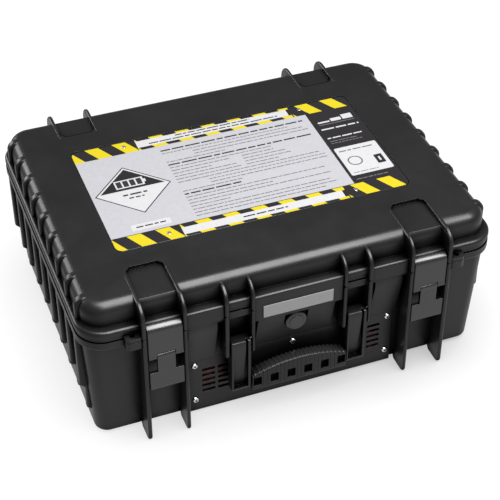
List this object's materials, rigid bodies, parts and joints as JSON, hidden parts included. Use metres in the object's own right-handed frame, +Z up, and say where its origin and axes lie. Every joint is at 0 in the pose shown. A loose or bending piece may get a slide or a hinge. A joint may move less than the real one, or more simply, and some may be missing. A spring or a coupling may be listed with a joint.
{
  "type": "power bank",
  "caption": "Portable power bank in a ribbed hard case with draw latches, drop handle, vent plate, and an outlet deck under a hinged lid.",
  "frame": {"origin": "middle of the ground under the case, between its feet", "axes": "+X to the right seen from the front, +Y to the back (hinge side), +Z up; the latches and the handle face -Y"},
  "size_m": [0.51, 0.412, 0.203],
  "materials": {
    "case_black": "fine moulded texture",
    "grip_rubber": "matt",
    "seal_rubber": "matt",
    "zinc": "bright zinc",
    "label_print": "printed film, satin",
    "name_plate_grey": "satin",
    "fan_red": "dark translucent red",
    "cell_blue": "shrink film over cells",
    "board_green": "solder mask",
    "copper": "bare",
    "inverter_alloy": "cast, bead blasted",
    "cable_red": "cable sheath",
    "deck_black": "fine texture",
    "rocker_red": "gloss",
    "screen_black": "gloss window in a frame"
  },
  "bodies": {
    "base": {"ac_outlet_left": "deck_black", "ac_outlet_right": "deck_black", "base_seal": "seal_rubber", "base_shell": "case_black", "battery_board": "board_green", "battery_lead_left": "cable_red", "battery_lead_right": "cable_red", "battery_module_left": "cell_blue", "battery_module_right": "cell_blue", "bus_bar": "copper", "charge_inlet": "deck_black", "control_deck": "deck_black", "deck_screw_1": "zinc", "deck_screw_2": "zinc", "deck_screw_3": "zinc", "deck_screw_4": "zinc", "display": "screen_black", "fan_frame_left": "fan_red", "fan_frame_right": "fan_red", "handle_pin_left": "zinc", "handle_pin_right": "zinc", "hinge_pin_left": "zinc", "hinge_pin_right": "zinc", "inverter": "inverter_alloy", "latch_pin_left": "zinc", "latch_pin_right": "zinc", "plate_screw_1": "zinc", "plate_screw_2": "zinc", "plate_screw_3": "zinc", "plate_screw_4": "zinc", "plate_screw_5": "zinc", "switch_frame": "deck_black", "usb_block": "deck_black", "valve_stem": "zinc", "vent_plate": "case_black"},
    "lid": {"lid_shell": "case_black", "lid_label": "label_print", "label_rivet_1": "zinc", "label_rivet_2": "zinc", "label_rivet_3": "zinc", "label_rivet_4": "zinc", "name_plate": "name_plate_grey"},
    "handle": {"handle_frame": "case_black", "handle_grip": "grip_rubber"},
    "valve_knob": {"valve_knob": "case_black"},
    "switch_rocker": {"switch_rocker": "rocker_red"},
    "display_button": {"display_button": "zinc"},
    "latch_lever_left": {"latch_lever_left": "case_black", "knuckle_pin_left": "zinc"},
    "latch_hook_left": {"latch_hook_left": "case_black"},
    "fan_rotor_left": {"fan_rotor_left": "fan_red"},
    "latch_lever_right": {"latch_lever_right": "case_black", "knuckle_pin_right": "zinc"},
    "latch_hook_right": {"latch_hook_right": "case_black"},
    "fan_rotor_right": {"fan_rotor_right": "fan_red"}
  },
  "joints": [
    {"name": "lid_hinge", "type": "hinge", "parent": "base", "child": "lid", "pos_m": [0, 0.2, 0.16], "axis": [-1, 0, 0], "range_deg": [0, 95]},
    {"name": "handle_fold", "type": "hinge", "parent": "base", "child": "handle", "pos_m": [0, -0.1945, 0.112], "axis": [-1, 0, 0], "range_deg": [0, 90]},
    {"name": "latch_lever_left", "type": "hinge", "parent": "base", "child": "latch_lever_left", "pos_m": [-0.1625, -0.19, 0.122], "axis": [-1, 0, 0], "range_deg": [0, 60]},
    {"name": "latch_hook_left", "type": "hinge", "parent": "latch_lever_left", "child": "latch_hook_left", "pos_m": [-0.1625, -0.2015, 0.13], "axis": [1, 0, 0], "range_deg": [0, 96]},
    {"name": "latch_lever_right", "type": "hinge", "parent": "base", "child": "latch_lever_right", "pos_m": [0.1625, -0.19, 0.122], "axis": [-1, 0, 0], "range_deg": [0, 60]},
    {"name": "latch_hook_right", "type": "hinge", "parent": "latch_lever_right", "child": "latch_hook_right", "pos_m": [0.1625, -0.2015, 0.13], "axis": [1, 0, 0], "range_deg": [0, 96]},
    {"name": "valve_turn", "type": "hinge", "parent": "base", "child": "valve_knob", "pos_m": [0, -0.1866, 0.117], "axis": [0, -1, 0], "range_deg": [0, 180]},
    {"name": "fan_spin_left", "type": "hinge", "parent": "base", "child": "fan_rotor_left", "pos_m": [-0.0958, -0.1735, 0.05], "axis": [0, 1, 0], "continuous": true},
    {"name": "fan_spin_right", "type": "hinge", "parent": "base", "child": "fan_rotor_right", "pos_m": [0.0958, -0.1735, 0.05], "axis": [0, 1, 0], "continuous": true},
    {"name": "switch_rock", "type": "hinge", "parent": "base", "child": "switch_rocker", "pos_m": [0, -0.031, 0.14], "axis": [-1, 0, 0], "range_deg": [0, 23]},
    {"name": "display_button_press", "type": "slide", "parent": "base", "child": "display_button", "axis": [0, 0, -1], "range_m": [0, 0.0015]}
  ],
  "couplings": [
    {"joint": "latch_hook_left", "follows": "latch_lever_left", "ratio": 1.6},
    {"joint": "latch_hook_right", "follows": "latch_lever_right", "ratio": 1.6}
  ]
}
